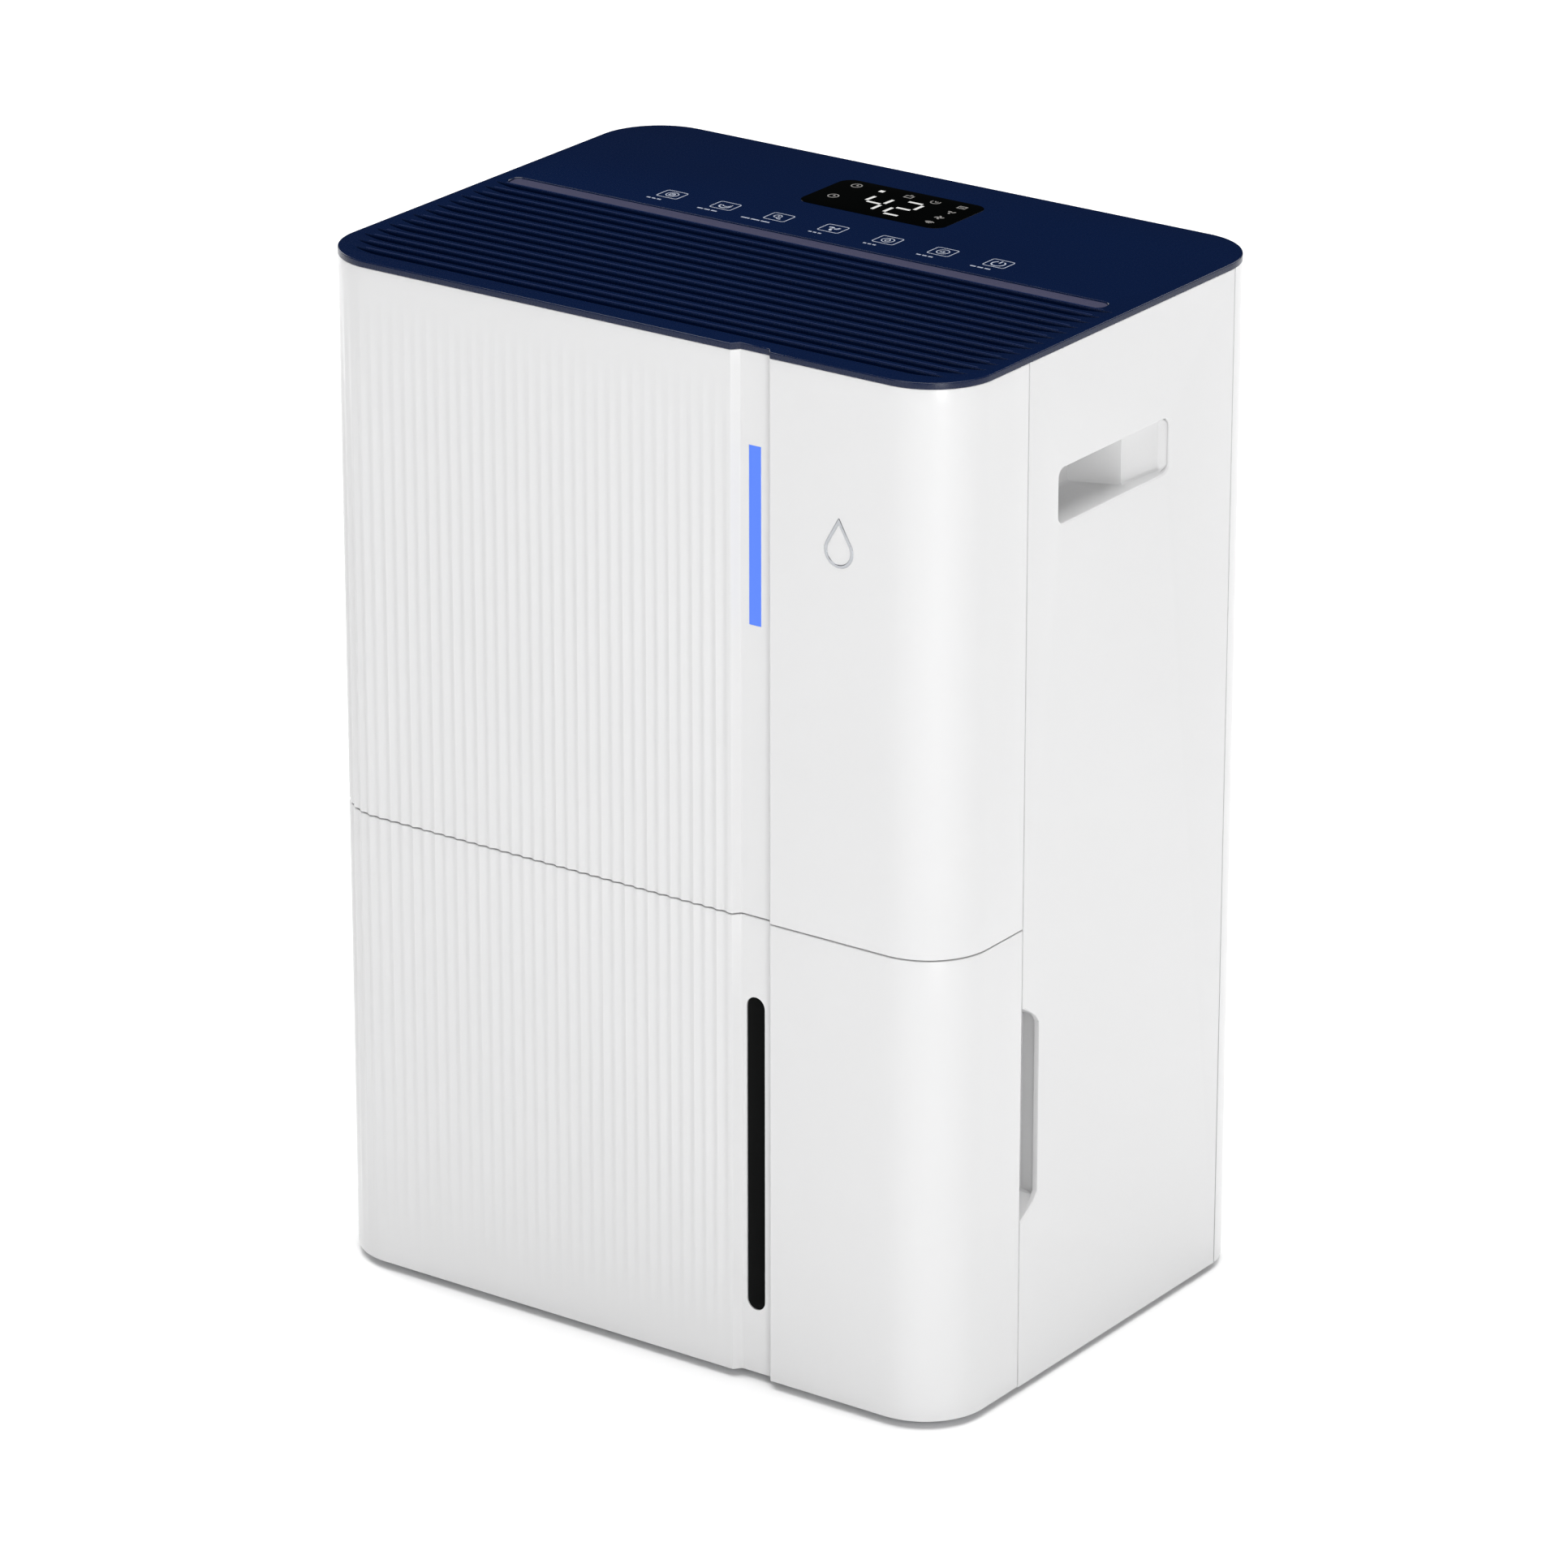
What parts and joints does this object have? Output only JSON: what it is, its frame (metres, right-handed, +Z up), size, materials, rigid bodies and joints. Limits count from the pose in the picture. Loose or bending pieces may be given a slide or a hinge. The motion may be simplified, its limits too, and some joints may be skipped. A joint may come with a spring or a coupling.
{
  "type": "dehumidifier",
  "caption": "Upright white compressor dehumidifier with a fluted front, navy slotted top with touch controls, lit status strip, pull-out water tank and rear intake filter.",
  "frame": {"origin": "on the floor, under the middle of the cabinet", "axes": "+X to the right seen from the front, +Y to the back, +Z up; the tank pulls out along -Y"},
  "size_m": [0.36, 0.262, 0.51],
  "materials": {
    "white_plastic": "smooth gloss",
    "navy_plastic": "satin gloss",
    "grey_plastic": "moulded satin",
    "tank_plastic": "translucent natural",
    "dark_plastic": "moulded fine grain",
    "rubber": "matt",
    "steel": "zinc plated",
    "aluminium": "rolled foil",
    "copper": "drawn tube",
    "black_paint": "satin enamel",
    "silver": "brushed silver",
    "blue_light": "lit light guide",
    "dark_glass": "polished black",
    "white_print": "printed ink",
    "circuit_board": "solder mask",
    "module_black": "moulded",
    "foam": "closed-cell foam",
    "magnet": "sintered",
    "filter_fabric": "open woven mesh",
    "signal_plastic": "moulded",
    "sensor_plastic": "moulded"
  },
  "bodies": {
    "cabinet": {"front_shell": "white_plastic", "right_side_panel": "white_plastic", "left_side_panel": "white_plastic", "rear_cover": "white_plastic", "top_panel": "navy_plastic", "base_pan": "grey_plastic", "partition_wall": "grey_plastic", "deck_plate": "grey_plastic", "air_shroud": "grey_plastic", "drain_nipple": "grey_plastic", "blower_scroll": "dark_plastic", "outlet_duct": "dark_plastic", "electronics_box": "dark_plastic", "drip_tray": "dark_plastic", "tank_switch": "dark_plastic", "cord_gland": "dark_plastic", "terminal_cover": "dark_plastic", "rubber_feet": "rubber", "compressor_grommets": "rubber", "wiring_harness": "rubber", "case_screws": "steel", "compressor_bolts": "steel", "motor_bracket": "steel", "coil_end_plates": "steel", "blower_motor": "steel", "evaporator_fins": "aluminium", "condenser_fins": "aluminium", "run_capacitor": "aluminium", "discharge_pipe": "copper", "suction_pipe": "copper", "liquid_line": "copper", "filter_drier": "copper", "capillary_tube": "copper", "evaporator_tubes": "copper", "condenser_tubes": "copper", "compressor": "black_paint", "suction_accumulator": "black_paint", "front_emblem": "silver", "light_guide": "blue_light", "display_window": "dark_glass", "touch_icons": "white_print", "control_board": "circuit_board", "light_board": "circuit_board", "main_board": "circuit_board", "display_module": "module_black", "humidity_sensor": "sensor_plastic"},
    "tank": {"tank_front_panel": "white_plastic", "tank_bucket": "tank_plastic", "tank_lid": "grey_plastic", "water_level_window": "dark_glass"},
    "bail": {"tank_handle": "grey_plastic"},
    "float": {"tank_float": "foam", "float_magnet": "magnet"},
    "fan": {"blower_wheel": "dark_plastic", "motor_shaft": "steel"},
    "filter": {"filter_grille": "white_plastic", "filter_frame": "grey_plastic", "filter_mesh": "filter_fabric"},
    "drain_flap": {"drain_cover": "white_plastic"},
    "switch": {"switch_plunger": "signal_plastic"}
  },
  "joints": [
    {"name": "tank_slide", "type": "slide", "parent": "cabinet", "child": "tank", "axis": [0, -1, 0], "range_m": [0, 0.12]},
    {"name": "tank_handle_swing", "type": "hinge", "parent": "tank", "child": "bail", "pos_m": [0, -0.07, 0.187], "axis": [-1, 0, 0], "range_deg": [0, 90]},
    {"name": "float_pivot", "type": "hinge", "parent": "tank", "child": "float", "pos_m": [0, -0.028, 0.165], "axis": [-1, 0, 0], "range_deg": [0, 12]},
    {"name": "blower_spin", "type": "hinge", "parent": "cabinet", "child": "fan", "pos_m": [-0.038, 0, 0.362], "axis": [0, 1, 0], "continuous": true},
    {"name": "filter_pull", "type": "slide", "parent": "cabinet", "child": "filter", "axis": [0, 1, 0], "range_m": [0, 0.05]},
    {"name": "drain_cover_swing", "type": "hinge", "parent": "cabinet", "child": "drain_flap", "pos_m": [0.12, 0.1275, 0.228], "axis": [1, 0, 0], "range_deg": [0, 90]},
    {"name": "switch_press", "type": "slide", "parent": "cabinet", "child": "switch", "axis": [0, 1, 0], "range_m": [0, 0.0015], "stiffness_N_per_m": 50, "springref_m": -0.002}
  ]
}
